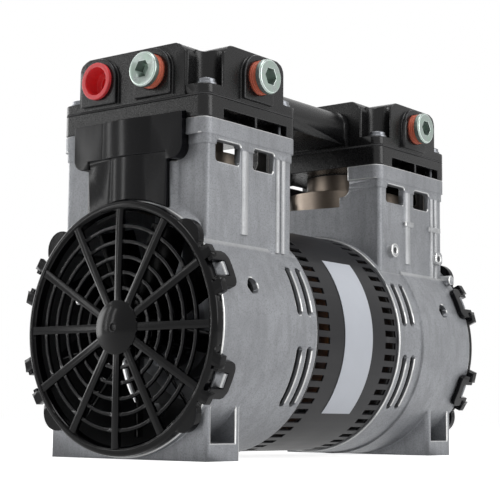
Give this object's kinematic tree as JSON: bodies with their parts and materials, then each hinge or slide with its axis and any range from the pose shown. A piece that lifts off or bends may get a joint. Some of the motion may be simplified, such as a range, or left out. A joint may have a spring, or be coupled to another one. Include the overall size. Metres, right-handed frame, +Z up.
{
  "type": "rocking piston air compressor",
  "caption": "Oil-free twin-cylinder rocking piston air compressor: a central motor drives a short-stroke rod and cup piston in a cylinder at each end, under heads joined by a manifold.",
  "frame": {"origin": "centre of the overall box on the mounting plane under the feet", "axes": "+X along the motor shaft towards the far end, +Y across the shaft away from the side with the label, +Z up through the cylinders"},
  "size_m": [0.2952, 0.155, 0.24],
  "materials": {
    "cast_aluminium": "matte die-cast with fine grain",
    "motor_shell_paint": "semi-gloss dark grey paint",
    "lamination_steel": "stacked laminations",
    "copper_winding": "varnished copper wire",
    "plated_steel": "zinc plated",
    "anodised_sleeve": "hard anodised, bronze tint, turned",
    "seal_rubber": "matte",
    "gasket_sheet": "fibre sheet",
    "black_casting": "satin black over fine casting texture",
    "bolt_steel": "blackened steel",
    "zinc_plug": "bright zinc plated",
    "thread_sealant": "dried orange-red sealant",
    "red_plastic": "soft gloss polyethylene",
    "black_plastic": "semi-gloss moulded nylon",
    "gloss_duct_plastic": "glossy moulded plastic",
    "label_film": "printed film left bare",
    "bearing_steel": "ground bearing steel",
    "spring_steel": "polished strip",
    "cast_iron": "machined cast iron",
    "rod_aluminium": "die-cast and machined",
    "cup_ptfe": "filled PTFE"
  },
  "bodies": {
    "root": {"housing_near": "cast_aluminium", "housing_far": "cast_aluminium", "motor_shell": "motor_shell_paint", "stator_core": "lamination_steel", "winding_near": "copper_winding", "winding_far": "copper_winding", "slot_windings": "copper_winding", "tie_bolts": "plated_steel", "cylinder_near": "anodised_sleeve", "cylinder_far": "anodised_sleeve", "cylinder_seals": "seal_rubber", "valve_plate_near": "black_casting", "valve_plate_far": "black_casting", "head_gaskets": "gasket_sheet", "head_near": "black_casting", "head_far": "black_casting", "head_bolts_near": "bolt_steel", "head_bolts_far": "bolt_steel", "manifold": "black_casting", "manifold_seals": "seal_rubber", "port_plugs": "zinc_plug", "plug_sealant": "thread_sealant", "guard_near": "black_plastic", "guard_far": "black_plastic", "duct_near": "gloss_duct_plastic", "duct_far": "gloss_duct_plastic", "name_plate": "label_film", "bearing_outer_rings": "bearing_steel", "reed_rivets": "plated_steel", "reed_stops": "spring_steel"},
    "rotor": {"shaft": "bearing_steel", "rotor_core": "lamination_steel", "bearing_inner_rings": "bearing_steel", "bearing_balls": "bearing_steel", "eccentric_near": "cast_iron", "eccentric_far": "cast_iron", "set_screws": "plated_steel", "rod_bearing_inner_rings": "bearing_steel", "rod_bearing_balls": "bearing_steel", "fan_near": "black_plastic", "fan_far": "black_plastic"},
    "rod_near_body": {"rod_near": "rod_aluminium", "rod_bearing_outer_near": "bearing_steel", "piston_cup_near": "cup_ptfe", "cup_retainer_near": "rod_aluminium", "retainer_screw_near": "plated_steel"},
    "rod_far_body": {"rod_far": "rod_aluminium", "rod_bearing_outer_far": "bearing_steel", "piston_cup_far": "cup_ptfe", "cup_retainer_far": "rod_aluminium", "retainer_screw_far": "plated_steel"},
    "intake_flap_near": {"intake_reed_near": "spring_steel"},
    "intake_flap_far": {"intake_reed_far": "spring_steel"},
    "exhaust_flap_near": {"exhaust_reed_near": "spring_steel"},
    "exhaust_flap_far": {"exhaust_reed_far": "spring_steel"},
    "cap": {"port_cap": "red_plastic"}
  },
  "joints": [
    {"name": "rotor_spin", "type": "hinge", "parent": "root", "child": "rotor", "pos_m": [0, 0, 0.0754], "axis": [1, 0, 0], "continuous": true},
    {"name": "rod_near_pin", "type": "hinge", "parent": "rotor", "child": "rod_near_body", "pos_m": [-0.091, 0, 0.0804], "axis": [1, 0, 0], "continuous": true, "deforming": ["piston_cup_near"]},
    {"name": "rod_far_pin", "type": "hinge", "parent": "rotor", "child": "rod_far_body", "pos_m": [0.091, 0, 0.0704], "axis": [1, 0, 0], "continuous": true, "deforming": ["piston_cup_far"]},
    {"name": "intake_near_lift", "type": "hinge", "parent": "root", "child": "intake_flap_near", "pos_m": [-0.073, 0, 0.1949], "axis": [0, -1, 0], "range_deg": [0, 3.5], "stiffness_Nm_per_rad": 0.02, "springref_deg": -5.73},
    {"name": "intake_far_lift", "type": "hinge", "parent": "root", "child": "intake_flap_far", "pos_m": [0.073, 0, 0.1949], "axis": [0, 1, 0], "range_deg": [0, 3.5], "stiffness_Nm_per_rad": 0.02, "springref_deg": -5.73},
    {"name": "exhaust_near_lift", "type": "hinge", "parent": "root", "child": "exhaust_flap_near", "pos_m": [-0.073, 0, 0.2076], "axis": [0, 1, 0], "range_deg": [0, 3.5], "stiffness_Nm_per_rad": 0.02, "springref_deg": -5.73},
    {"name": "exhaust_far_lift", "type": "hinge", "parent": "root", "child": "exhaust_flap_far", "pos_m": [0.073, 0, 0.2076], "axis": [0, -1, 0], "range_deg": [0, 3.5], "stiffness_Nm_per_rad": 0.02, "springref_deg": -5.73},
    {"name": "cap_pull", "type": "slide", "parent": "root", "child": "cap", "axis": [-1, 0, 0], "range_m": [0, 0.016]}
  ],
  "couplings": [
    {"joint": "rod_near_pin", "follows": "rotor_spin", "ratio": -1},
    {"joint": "rod_far_pin", "follows": "rotor_spin", "ratio": -1}
  ]
}
